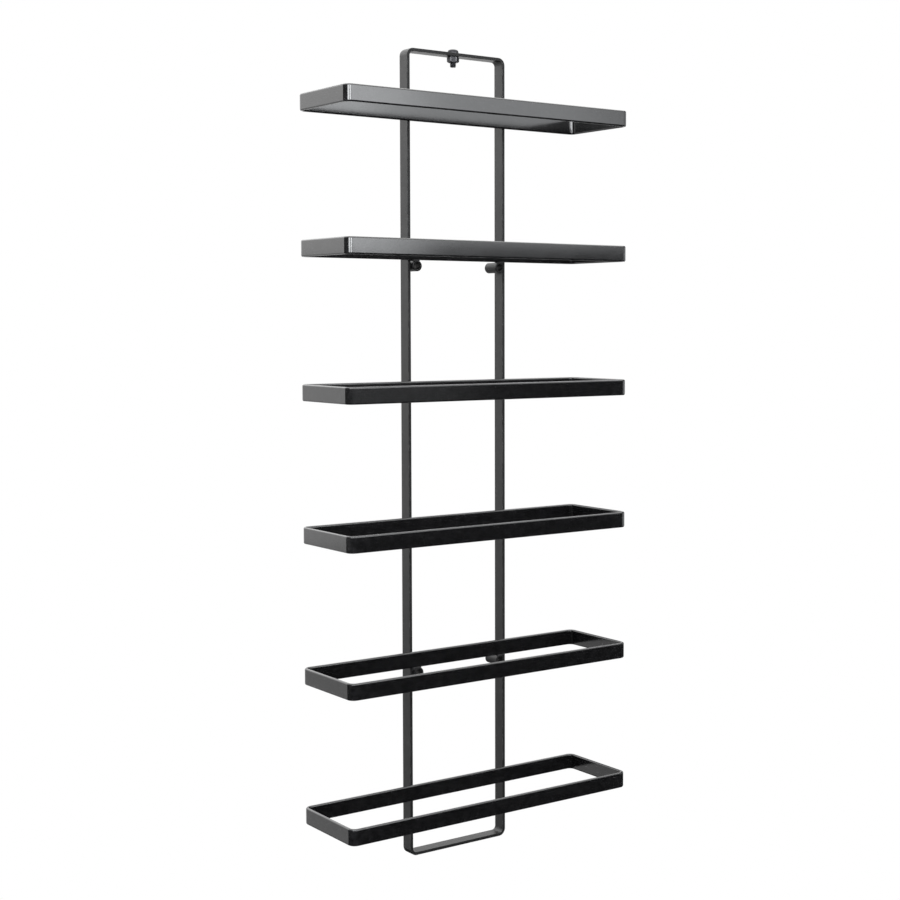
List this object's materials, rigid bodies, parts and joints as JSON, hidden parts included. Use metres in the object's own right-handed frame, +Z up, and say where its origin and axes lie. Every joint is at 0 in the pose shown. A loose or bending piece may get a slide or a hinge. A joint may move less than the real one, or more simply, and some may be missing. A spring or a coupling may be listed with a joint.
{
  "type": "spice rack",
  "caption": "Wall-hung spice rack of flat steel bar: a column of open rectangular hoops welded to a tall narrow frame with screw sleeves.",
  "frame": {"origin": "on the wall plane, midway between the four wall sleeves", "axes": "+Z up along the frame's rails, +Y into the wall, -Y to the front where the hoops stand out, +X to the right of a person facing the rack"},
  "size_m": [0.308, 0.1013, 0.7596],
  "materials": {
    "powder_coat": "satin near-black powder coat",
    "black_fastener": "black-oxide steel, slightly glossy"
  },
  "bodies": {
    "root": {"frame_loop": "powder_coat", "hoop_1": "powder_coat", "hoop_2": "powder_coat", "hoop_3": "powder_coat", "hoop_4": "powder_coat", "hoop_5": "powder_coat", "hoop_6": "powder_coat", "sleeve_upper_left": "powder_coat", "sleeve_upper_right": "powder_coat", "sleeve_lower_left": "powder_coat", "sleeve_lower_right": "powder_coat", "top_bolt": "black_fastener", "top_nut": "black_fastener"}
  },
  "joints": []
}
